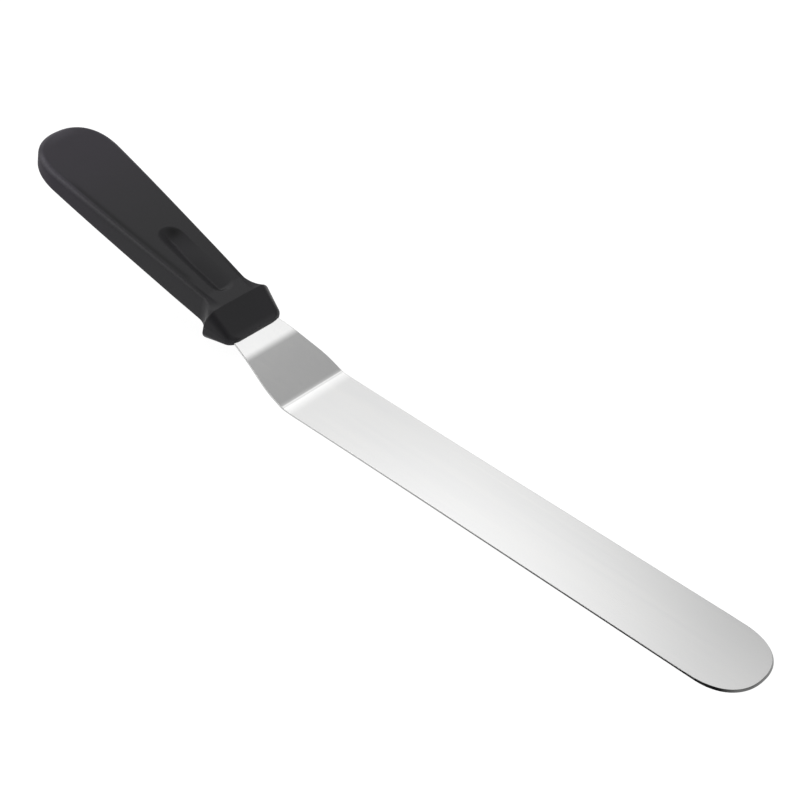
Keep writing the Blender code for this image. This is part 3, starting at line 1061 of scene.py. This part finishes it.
@dataclass
class Handle:
    """The moulded handle: faceted guard, waist, paddle grip and round butt, with a slot for the tang.

    Places are measured behind the guard's front. A span gives the start and the end of a fade, in place or,
    for the grip's painted edge highlight, in strength. The edges, the bevel, the guard's lip and the butt's
    rim carry painted highlights, speckled like rubbing. The butt's stops pair a turn from the far side with a
    share of the belly's painted highlight.
    """

    length: float = 0.1353
    grip_width: float = 0.0357
    grip_swell: float = 0.30
    belly_edge: float = 0.0026
    butt_length: float = 0.0215
    butt_fullness: float = 2.32
    butt_thickness: float = 0.0102
    waist_width: float = 0.0225
    waist_thickness: float = 0.0147
    waist_edge: float = 0.0013
    bevel_slope: float = 0.38
    bevel_line: float = 0.0090
    bevel_spread: float = 0.12
    bevel_knee: float = 0.0003
    bevel_fade: Span = (0.028, 0.046)
    # Strengths and reaches of the painted highlights, speckled like rubbing, on the edges, the bevel, the
    # guard's lip and the butt's rim
    grip_wear_highlight: Span = (0.30, 0.67)
    belly_wear_highlight: float = 0.33
    belly_wear_highlight_start: float = 0.7
    edge_wear_highlight_bias: float = 0.73
    bevel_wear_highlight: float = 0.45
    bevel_wear_highlight_reach: float = 0.0012
    lip_wear_highlight: float = 0.23
    lip_reach: float = 0.0027
    rim_wear_highlight: float = 0.40
    rim_reach: float = 0.0042
    rim_middle: float = math.radians(92.0)
    rim_spread: float = math.radians(26.0)
    butt_wear_highlight: Stops = ((0.0, 1.0), (1.2, 0.67), (2.0, 0.55), (2.4, 0.25), (2.7, 1.0))
    ridge_dullness: float = 0.2
    # A faint line of painted shade inside the near edge of the top face
    edge_painted_shade: float = 0.50
    edge_painted_shade_inset: float = 0.0028
    edge_painted_shade_spread: float = 0.0011
    edge_painted_shade_start: Span = (0.029, 0.037)
    edge_painted_shade_end: Span = (0.110, 0.098)
    ridge_place: float = 0.0134
    ridge_width: float = 0.0355
    ridge_thickness: float = 0.0163
    ridge_edge_across: float = 0.0050
    ridge_edge_deep: float = 0.0060
    ridge_edge_fullness: float = 1.6
    ridge_flare: float = 0.0088
    ridge_softness: float = 0.0003
    front_width: float = 0.0284
    front_thickness: float = 0.0036
    front_edge_across: float = 0.0029
    front_edge_deep: float = 0.0014
    front_corner_radius: float = 0.0031
    front_easing: float = 0.0003
    slot_clearance: float = 0.00008
    crease: float = math.radians(42.0)
    recess_columns: int = 48
    recess_columns_share: float = 0.7
    border_columns: int = 12
    border_crowding: float = 1.4
    corner_steps: int = 12
    easing_steps: int = 4
    front_corner_steps: int = 12
    facet_steps: int = 14
    ridge_steps: int = 12
    ridge_samples: int = 6
    flare_steps: int = 24
    grip_steps: int = 24
    fan_steps: int = 72
    station_gap: float = 0.00002

    @property
    def waist_place(self) -> float:
        """Where the guard's flare ends, behind its front."""
        return self.ridge_place + self.ridge_flare

    @property
    def belly_place(self) -> float:
        """Where the butt's rounding begins, behind the guard's front."""
        return self.length - self.butt_length

    def grip_share(self, inside: float) -> float:
        """How far a place lies along the way from the waist, at 0, to the belly, at 1."""
        return (inside - self.waist_place) / (self.belly_place - self.waist_place)

    def grip_half_width(self, inside: float) -> float:
        """Half the grip's width, which swells from the waist to the belly."""
        share = self.grip_share(inside)
        swell = share + self.grip_swell * share * share * (1.0 - share)
        return blend(self.waist_width, self.grip_width, swell) / 2

    def grip_half_thickness(self, inside: float) -> float:
        """Half the grip's thickness, which thins from the waist to the butt."""
        share = (inside - self.waist_place) / (self.length - self.waist_place)
        return blend(self.waist_thickness, self.butt_thickness, share) / 2

    def grip_edge(self, inside: float) -> float:
        """Radius of the grip's long edges, which grows from the waist to the belly."""
        return blend(self.waist_edge, self.belly_edge, self.grip_share(inside))

    def rise(self, inside: float) -> float:
        """How far the flare has come from the waist, at 0, to the ridge, at 1."""
        return min(max(1.0 - (inside - self.ridge_place) / self.ridge_flare, 0.0), 1.0)

    def hollow(self, inside: float) -> float:
        """How far the sides have flared out from the waist, at 0, to the ridge, at 1."""
        return self.rise(inside) ** 2

    def bevel_strength(self, inside: float) -> float:
        """How strong the shallow bevel by the waist is, from 0 to 1."""
        return (1.0 - spread(inside, *self.bevel_fade)) * (1.0 - self.hollow(inside))

    def past_bevel(self, inside: float, across: float) -> float:
        """How far a point lies outside the line where the bevel begins."""
        return abs(across) - self.bevel_line - self.bevel_spread * (inside - self.waist_place)

    def bevel_drop(self, inside: float, across: float) -> float:
        """How far the bevel lowers the face at a point."""
        slope = self.bevel_slope * self.bevel_strength(inside)
        past = self.past_bevel(inside, across)
        if past > self.bevel_knee:
            return slope * past
        return slope * max(past + self.bevel_knee, 0.0) ** 2 / (4 * self.bevel_knee)

    def guard_sizes(self, inside: float) -> list[float]:
        """Sizes of the cross-section in front of the ridge, where the corners are round in plan."""
        share = inside / self.ridge_place
        radius = self.front_corner_radius
        short = min(max(radius - inside, 0.0), radius)
        half_width = blend(self.front_width, self.ridge_width, share) / 2
        return [
            half_width - radius + math.sqrt(radius**2 - short**2),
            blend(self.front_thickness, self.ridge_thickness, share) / 2,
            blend(self.front_edge_across, self.ridge_edge_across, share),
            blend(self.front_edge_deep, self.ridge_edge_deep, share),
            self.ridge_edge_fullness,
            0.0,
        ]

    def grip_sizes(self, inside: float) -> list[float]:
        """Sizes of the cross-section behind the ridge: a hollow flare down to the waist, then the grip."""
        hollow = self.hollow(inside)
        behind_waist = max(inside, self.waist_place)
        half_width = blend(self.grip_half_width(behind_waist), self.ridge_width / 2, hollow)
        edge = self.grip_edge(behind_waist)
        edge_across = blend(edge, self.ridge_edge_across, hollow)
        return [
            half_width,
            blend(self.grip_half_thickness(behind_waist), self.ridge_thickness / 2, self.rise(inside)),
            edge_across,
            blend(edge, self.ridge_edge_deep, hollow),
            blend(2.0, self.ridge_edge_fullness, hollow),
            self.bevel_drop(inside, half_width - edge_across),
        ]

    def section(self, inside: float) -> Section:
        """The cross-section at a distance behind the guard's front, with a softened ridge and front edge."""
        reach = min(self.ridge_softness, inside / 2)
        places = between(inside - reach, inside + reach, self.ridge_samples)
        ridge = self.ridge_place
        sharp = [self.guard_sizes(at) if at <= ridge else self.grip_sizes(at) for at in places]
        sizes = np.mean(sharp, axis=0)
        short = max(self.front_easing - inside, 0.0)
        sizes[:2] -= self.front_easing - math.sqrt(self.front_easing**2 - short**2)
        return Section(*sizes.tolist())

    def top_columns(self, half_flat: float, half_recess: float) -> list[float]:
        """Places across the flat of the top face, closer together by the sides of the recess."""
        inner_half = min(half_recess, self.recess_columns_share * half_flat)
        turns = between(-math.pi / 2, math.pi / 2, self.recess_columns)
        inner = [inner_half * math.sin(turn) for turn in turns]
        shares = between(0.0, 1.0, self.border_columns)[1:]
        border = [blend(inner_half, half_flat, share**self.border_crowding) for share in shares]
        return [-place for place in reversed(border)] + inner + border

    def highlight_strength(self, inside: float) -> float:
        """How strong the painted edge highlight is at a distance behind the guard's front, most by the belly.
        """
        if inside <= self.ridge_place:
            return 0.0
        share = (inside - self.ridge_place) / (self.belly_place - self.ridge_place)
        belly = self.belly_wear_highlight * spread(share, self.belly_wear_highlight_start, 1.0)
        return (1.0 - self.hollow(inside)) * (blend(*self.grip_wear_highlight, share) + belly)

    def face_wear_highlight(self, inside: float, across: float) -> float:
        """How strong the painted highlight on the top or bottom face is at a point: on the guard's front lip
        and on the bevel.
        """
        if inside <= self.ridge_place:
            return self.lip_wear_highlight * eased(1.0 - inside / self.lip_reach)
        outer = eased(self.past_bevel(inside, across) / self.bevel_wear_highlight_reach)
        return self.bevel_wear_highlight * self.highlight_strength(inside) * self.bevel_strength(inside) * outer

    def face_painted_shade(self, inside: float, across: float) -> float:
        """How much painted shade the top face has at a point: a faint dark line inside its near edge."""
        strength = spread(inside, *self.edge_painted_shade_start) * spread(inside, *self.edge_painted_shade_end)
        from_line = self.grip_half_width(inside) + across - self.edge_painted_shade_inset
        return self.edge_painted_shade * strength * math.exp(-((from_line / self.edge_painted_shade_spread) ** 2))

    def side_share(self, inside: float) -> float:
        """How dull the side is: fully on the grip and the guard, and less where the flare meets the ridge."""
        if inside <= self.ridge_place:
            return 1.0
        return blend(1.0, self.ridge_dullness, self.hollow(inside))

    def edge_marks(self, turn: float, highlight_strength: float, side: float) -> Marks:
        """How strong an edge's painted highlight is and how far it belongs to the side, at a turn from the
        top face.
        """
        share = turn / (math.pi / 2)
        rubbed = highlight_strength * math.sin(math.pi * share**self.edge_wear_highlight_bias) ** 2
        return rubbed, side * eased(2.0 * share - 1.0), 0.0

    def ring(self, inside: float, recess: ThumbRecess) -> tuple[list[Point], list[Marks]]:
        """The handle's cross-section at a distance behind the guard's front.

        Args:
            inside: the distance behind the guard's front.
            recess: the thumb recess in the top face.

        Returns:
            Points clockwise from the near end of the top face, and for each how strong its painted highlight
            is, how far it belongs to a side and how much painted shade it has.
        """
        section = self.section(inside)
        columns = self.top_columns(section.flat, recess.half_width)
        plain = [section.half_thickness - self.bevel_drop(inside, across) for across in columns]
        top = [height - recess.drop(inside, across) for across, height in zip(columns, plain)]
        highlight_strength = self.highlight_strength(inside)
        turns = quarter_turn(self.corner_steps)[1:]
        corner = [section.corner(turn) for turn in turns]
        side_share = self.side_share(inside)
        marks = [self.edge_marks(turn, highlight_strength, side_share) for turn in turns]
        for height in (section.upright / 2, 0.0):
            corner.append((section.half_width, height))
            marks.append((0.0, side_share, 0.0))
        lower = [(across, -height) for across, height in reversed(corner[:-1])]
        side = corner + lower
        marks += marks[-2::-1]
        ring = [(-inside, across, height) for across, height in zip(columns, top)]
        ring += [(-inside, across, height) for across, height in side]
        ring += [(-inside, -across, -height) for across, height in zip(columns, plain)]
        ring += [(-inside, -across, height) for across, height in reversed(side)]
        # Painted highlight on the guard's lip and the bevel, and painted shade in the recess and inside the
        # near edge
        worn_highlight = [self.face_wear_highlight(inside, across) for across in columns]
        grime = [recess.grime(inside, across) + self.face_painted_shade(inside, across) for across in columns]
        upper = [(wear_highlight, 0.0, shade_amount) for wear_highlight, shade_amount in zip(worn_highlight, grime)]
        under = [(wear_highlight, 0.0, 0.0) for wear_highlight in worn_highlight]
        return ring, upper + marks + under + marks

    def stations(self, recess: ThumbRecess) -> list[float]:
        """Distances behind the guard's front where the handle's outline or its recess needs a ring."""
        radius = self.front_corner_radius
        turns = quarter_turn(self.easing_steps)
        easing = [self.front_easing * (1.0 - math.cos(turn)) for turn in turns]
        corner = [radius * (1.0 - math.cos(turn)) for turn in quarter_turn(self.front_corner_steps)]
        facet = between(radius, self.ridge_place, self.facet_steps)
        soft = 2 * self.ridge_softness
        ridge = between(self.ridge_place - soft, self.ridge_place + soft, self.ridge_steps)
        flare = between(self.ridge_place, self.waist_place, self.flare_steps)
        grip = between(recess.end + 2 * recess.end_margin, self.belly_place, self.grip_steps)
        guard = easing + corner + facet + ridge + flare
        return spaced(guard + recess.stations() + grip, self.station_gap)

    def butt_outline(self, turn: float) -> tuple[float, float]:
        """Reach of the butt behind the belly and across, at a turn from the far side to the near one."""
        power = 2.0 / self.butt_fullness
        across = math.copysign(abs(math.cos(turn)) ** power, math.cos(turn))
        return self.butt_length * abs(math.sin(turn)) ** power, self.grip_width / 2 * across

    def butt_point(self, turn: float, point: Point) -> Point:
        """A point of the butt: one of the belly's far half, swung about the belly's middle.

        Args:
            turn: the turn from the far side round to the near one.
            point: the belly's point.

        Returns:
            The point as it lies on the butt.
        """
        behind, across = self.butt_outline(turn)
        reach = math.hypot(behind, across)
        belly = self.section(self.belly_place)
        _, out, height = point
        if out > belly.flat:
            out += reach - belly.half_width
        else:
            out *= (reach - belly.edge_across) / belly.flat
        inside = self.belly_place + out * behind / reach
        thinned = belly.half_thickness - self.grip_half_thickness(inside)
        if abs(height) < belly.upright:
            height -= thinned * height / belly.upright
        else:
            height -= math.copysign(thinned, height)
        return -inside, out * across / reach, height

    def butt_marks(self, turn: float, out: float, marks: Marks) -> Marks:
        """The marks of a point of the butt, whose rim and edge carry an uneven painted highlight.

        Args:
            turn: the turn from the far side round to the near one.
            out: how far the belly's point lies from the belly's middle.
            marks: the marks of the belly's point.

        Returns:
            The marks of the point as it lies on the butt.
        """
        rubbed, side, grime = marks
        turns, shares = zip(*self.butt_wear_highlight)
        rim = eased(1.0 - (self.section(self.belly_place).flat - out) / self.rim_reach)
        end = math.exp(-(((turn - self.rim_middle) / self.rim_spread) ** 2))
        rubbed = rubbed * float(np.interp(turn, turns, shares)) + self.rim_wear_highlight * rim * end
        return min(rubbed, 1.0), side, grime

    def shell(self, recess: ThumbRecess) -> bpy.types.Mesh:
        """The handle's outside, with its guard's front at x = 0 and its butt towards -X.

        Args:
            recess: the thumb recess in the top face.

        Returns:
            Rings from the guard's front to the belly, then a fan of half rings round the butt.
        """
        points: list[Point] = []
        marks: list[Marks] = []
        stations = self.stations(recess)
        for inside in stations:
            ring, ring_marks = self.ring(inside, recess)
            points += ring
            marks += ring_marks
        count = len(ring)
        faces = ring_faces(count, len(stations))
        last = len(points) - count
        top = self.border_columns + self.recess_columns // 2
        half = count // 2
        far = [last + (top + k) % count for k in range(half + 1)]
        near = [last + (top - k) % count for k in range(half + 1)]
        column = far
        for i in range(1, self.fan_steps + 1):
            after = near
            if i < self.fan_steps:
                turn = math.pi * i / self.fan_steps
                after = [far[0], *range(len(points), len(points) + half - 1), far[half]]
                points += [self.butt_point(turn, points[k]) for k in far[1:half]]
                marks += [self.butt_marks(turn, points[k][1], marks[k]) for k in far[1:half]]
            for k in range(half):
                corners = (column[k], column[k + 1], after[k + 1], after[k])
                faces.append(list(dict.fromkeys(corners)))
            column = after
        mesh = meshed("handle_shell", points, faces)
        for channel, values in zip((Channel.RUBBED_HIGHLIGHT, Channel.SIDE, Channel.PAINTED_SHADE), zip(*marks)):
            attribute = mesh.attributes.new(channel.value, "FLOAT", "POINT")
            attribute.data.foreach_set("value", np.array(values, np.float32))
        return mesh

    def tang_slot(self, blade: Blade) -> bpy.types.Mesh:
        """The space that the tang fills, as a mesh to cut the shell with."""
        high = blade.sheet / 2 + self.slot_clearance
        places = [self.slot_clearance + place for place in blade.tang_stations()[:-1]]
        rings = []
        for inside in [-blade.tang_shoulder] + places:
            half = blade.tang_half_width(max(inside - self.slot_clearance, 0.0)) + self.slot_clearance
            corners = ((-half, high), (half, high), (half, -high), (-half, -high))
            rings.append([(-inside, y, z) for y, z in corners])
        return skinned("tang_slot", rings)

    def moulding_tree(self, posts: Tree) -> Tree:
        """The tree that cuts the tang's slot from the shell, leaving the lock plugs, and tilts it into place.

        Args:
            posts: the node group that makes a row of posts.

        Returns:
            A Geometry Nodes tree with named inputs.
        """
        inputs = {
            "Shell": "NodeSocketGeometry",
            "Tang slot": "NodeSocketObject",
            **POST_SOCKETS,
            "Place": "NodeSocketVector",
            "Tilt": "NodeSocketFloat",
            "Finish": "NodeSocketMaterial",
        }
        tree = Tree.group("moulded_handle", inputs, {"Handle": "NodeSocketGeometry"})
        slot = tree.add("GeometryNodeObjectInfo", None, {"Object": tree.take("Tang slot")}, "Geometry")
        space = tree.cut(slot, tree.call(posts, tree.taken(POST_SOCKETS)))
        tilt = tree.vector(Y=tree.take("Tilt"))
        hollow = tree.cut(tree.take("Shell"), space)
        turned = tree.add(
            "GeometryNodeTransform",
            None,
            {"Geometry": hollow, "Translation": tree.take("Place"), "Rotation": tilt},
        )
        tree.give({"Handle": tree.dressed(turned, tree.take("Finish"))})
        return tree

    def build(
        self, finish: MouldedPlastic, blade: Blade, recess: ThumbRecess, posts: Tree
    ) -> bpy.types.Object:
        """The finished handle.

        Args:
            finish: the plastic's finish.
            blade: the blade whose tang the handle holds.
            recess: the thumb recess in the top face.
            posts: the node group that makes a row of posts.

        Returns:
            The handle's object.
        """
        slot = linked("tang_slot", self.tang_slot(blade))
        front = blade.middle(blade.guard_at)
        inputs = {
            "Tang slot": slot,
            **blade.post_inputs(0.0, self.slot_clearance),
            "Place": (front.x, 0.0, front.y),
            "Tilt": blade.handle_tilt,
            "Finish": finish.material(),
        }
        handle = made_plain("spatula_handle", self.shell(recess), self.moulding_tree(posts), inputs)
        bpy.data.objects.remove(slot, do_unlink=True)
        return placed(smooth_shaded(handle, self.crease), "handle")


# Studio


def compass(heading: float, elevation: float) -> Vector:
    """The direction at a heading in degrees from +Y towards -X, and at an elevation in degrees."""
    turn = math.radians(heading)
    rise = math.radians(elevation)
    return Vector((-math.sin(turn) * math.cos(rise), math.cos(turn) * math.cos(rise), math.sin(rise)))


@dataclass(frozen=True)
class Softbox:
    """A soft lamp, by its heading from +Y towards -X, its elevation, its size and its brightness."""

    name: str
    heading: float
    elevation: float
    distance: float
    width: float
    height: float
    radiance: float

    def build(self, target: Vector) -> bpy.types.Object:
        """The lamp, turned to a target."""
        towards = compass(self.heading, self.elevation)
        light = bpy.data.lights.new(self.name, "AREA")
        light.shape = "RECTANGLE"
        light.size = self.width
        light.size_y = self.height
        light.energy = self.radiance * math.pi * self.width * self.height
        lamp = linked(self.name, light)
        lamp.location = target + self.distance * towards
        lamp.rotation_euler = towards.to_track_quat("Z", "Y").to_euler()
        return lamp


@dataclass(frozen=True)
class Glow:
    """A round patch of sky that fades from its core outwards, with its sizes in degrees."""

    heading: float
    elevation: float
    core: float
    reach: float
    brightness: float

    def add(self, tree: Tree, direction: Link) -> Link:
        """The patch's brightness in a direction, as nodes in a world's tree."""
        middle = tuple(compass(self.heading, self.elevation))
        settings = {"operation": "DOT_PRODUCT"}
        facing = tree.add("ShaderNodeVectorMath", settings, {0: direction, 1: middle}, "Value")
        low, high = (math.cos(math.radians(size)) for size in (self.reach, self.core))
        return tree.spread(facing, low, high) * self.brightness


@dataclass
class Studio:
    """A white sweep under soft light from the left and overhead, seen from the photograph's viewpoint.

    The camera's offsets are measured from the middle of the heel's top edge, along the picture's right, its
    up and straight back from it. The sky's stops pair a place along X, from -1 to 1, with a brightness.
    """

    lens: float = 76.5
    sensor: float = 36.0
    near_clip: float = 0.01
    azimuth: float = math.radians(44.48)
    elevation: float = math.radians(39.18)
    offset_right: float = 0.0350
    offset_up: float = -0.00392
    offset_back: float = 0.6904
    floor_size: float = 40.0
    floor_albedo: float = 0.35
    floor_fill: float = 0.90
    sky: Stops = (
        (-0.66, 1.11),
        (-0.58, 0.92),
        (-0.50, 0.73),
        (-0.42, 0.36),
        (-0.34, 0.00),
        (-0.26, 0.02),
        (-0.15, 0.44),
        (0.02, 0.43),
        (0.60, 0.76),
    )
    sky_heights: Span = (0.30, 0.55)
    near_horizon: float = 0.75
    far_horizon: float = 0.30
    horizon_depths: Span = (-0.4, 0.2)
    overhead: Glow = Glow(heading=37.3, elevation=56.5, core=2.6, reach=19.6, brightness=1.006)
    behind_camera: Glow = Glow(heading=224.5, elevation=39.2, core=8.0, reach=42.0, brightness=-0.54)
    lamps: tuple[Softbox, ...] = (
        Softbox(
            name="side_softbox",
            heading=157.0,
            elevation=40.0,
            distance=1.30,
            width=0.80,
            height=0.35,
            radiance=1.50,
        ),
    )

    def camera(self, blade: Blade) -> bpy.types.Object:
        """The camera at the photograph's viewpoint.

        Args:
            blade: the blade that the viewpoint is measured from.

        Returns:
            The camera's object.
        """
        heel = Vector((-blade.flat_length / 2, 0.0, blade.sheet))
        right = Vector((math.cos(self.azimuth), math.sin(self.azimuth), 0.0))
        level = math.cos(self.elevation)
        ahead = Vector((-math.sin(self.azimuth) * level, math.cos(self.azimuth) * level, 0.0))
        back = Vector((0.0, 0.0, math.sin(self.elevation))) - ahead
        up = back.cross(right)
        data = bpy.data.cameras.new("photo_camera")
        data.lens = self.lens
        data.sensor_width = self.sensor
        data.clip_start = self.near_clip
        camera = linked("photo_camera", data)
        place = heel + self.offset_right * right + self.offset_up * up + self.offset_back * back
        camera.matrix_world = Matrix.Translation(place) @ Matrix((right, up, back)).transposed().to_4x4()
        bpy.context.scene.camera = camera
        return camera

    @staticmethod
    def seen_directly(tree: Tree) -> Link:
        """1 for rays that show a surface to the camera, straight or by a mirror or glass, else 0."""
        kinds = ("Camera", "Glossy", "Transmission")
        straight, mirrored, through = (
            tree.add("ShaderNodeLightPath", None, None, f"Is {kind} Ray") for kind in kinds
        )
        return (straight + mirrored + through).compare(Compare.AT_MOST, 1.0)

    def floor(self) -> bpy.types.Object:
        """The white floor, which keeps the object's faint shadow."""
        half = self.floor_size / 2
        corners = [(-half, -half, 0.0), (half, -half, 0.0), (half, half, 0.0), (-half, half, 0.0)]
        mesh = meshed("studio_floor", corners, [(0, 1, 2, 3)])
        material = bpy.data.materials.new("white_sweep")
        tree = Tree.of(material)
        matt = tree.add("ShaderNodeBsdfDiffuse", None, {"Color": (self.floor_albedo,) * 3})
        fill = tree.add("ShaderNodeEmission", None, {"Strength": self.seen_directly(tree) * self.floor_fill})
        both = tree.add("ShaderNodeAddShader", None, {0: matt, 1: fill})
        tree.add("ShaderNodeOutputMaterial", None, {"Surface": both})
        mesh.materials.append(material)
        floor = linked("studio_floor", mesh)
        return floor

    def world(self) -> bpy.types.World:
        """The soft light, which is brighter on the left and overhead."""
        world = bpy.data.worlds.new("studio_world")
        tree = Tree.of(world)
        direction = tree.add("ShaderNodeTexCoord", None, None, "Generated")
        sideways, away, height = (tree.part(direction, axis) for axis in "XYZ")
        brightest = max(level for _, level in self.sky)
        stops = [((place + 1.0) / 2, (level / brightest,) * 3) for place, level in self.sky]
        ceiling = tree.add("ShaderNodeValToRGB", {"stops": stops}, {"Fac": sideways * 0.5 + 0.5})
        far = tree.spread(away, *self.horizon_depths)
        horizon = self.near_horizon + far * (self.far_horizon - self.near_horizon)
        high = tree.spread(height, *self.sky_heights)
        plain = horizon + high * (ceiling * brightest - horizon)
        strength = plain + self.overhead.add(tree, direction) + self.behind_camera.add(tree, direction)
        lit = strength.compare(Compare.AT_LEAST, 0.0)
        light = tree.add("ShaderNodeBackground", None, {"Color": (1.0, 1.0, 1.0), "Strength": lit})
        tree.add("ShaderNodeOutputWorld", None, {"Surface": light})
        bpy.context.scene.world = world
        return world

    def build(self, blade: Blade) -> None:
        """Sets up the floor, the light and the camera."""
        bpy.context.scene.view_settings.view_transform = "Standard"
        self.floor()
        self.world()
        heel = Vector((-blade.flat_length / 2, 0.0, 0.0))
        for lamp in self.lamps:
            lamp.build(heel)
        self.camera(blade)
        LOG.info("studio: floor, world, %d lamps and camera", len(self.lamps))


def main() -> None:
    """Dresses the frame as the finished spatula and sets up the studio."""
    logging.basicConfig(level=logging.INFO, format="%(name)s %(message)s")
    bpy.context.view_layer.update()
    posts = lock_posts_group()
    blade = Blade()
    blade.build(BrushedSteel(), posts)
    Handle().build(MouldedPlastic(), blade, ThumbRecess(), posts)
    Studio().build(blade)


if __name__ == "__main__":
    main()
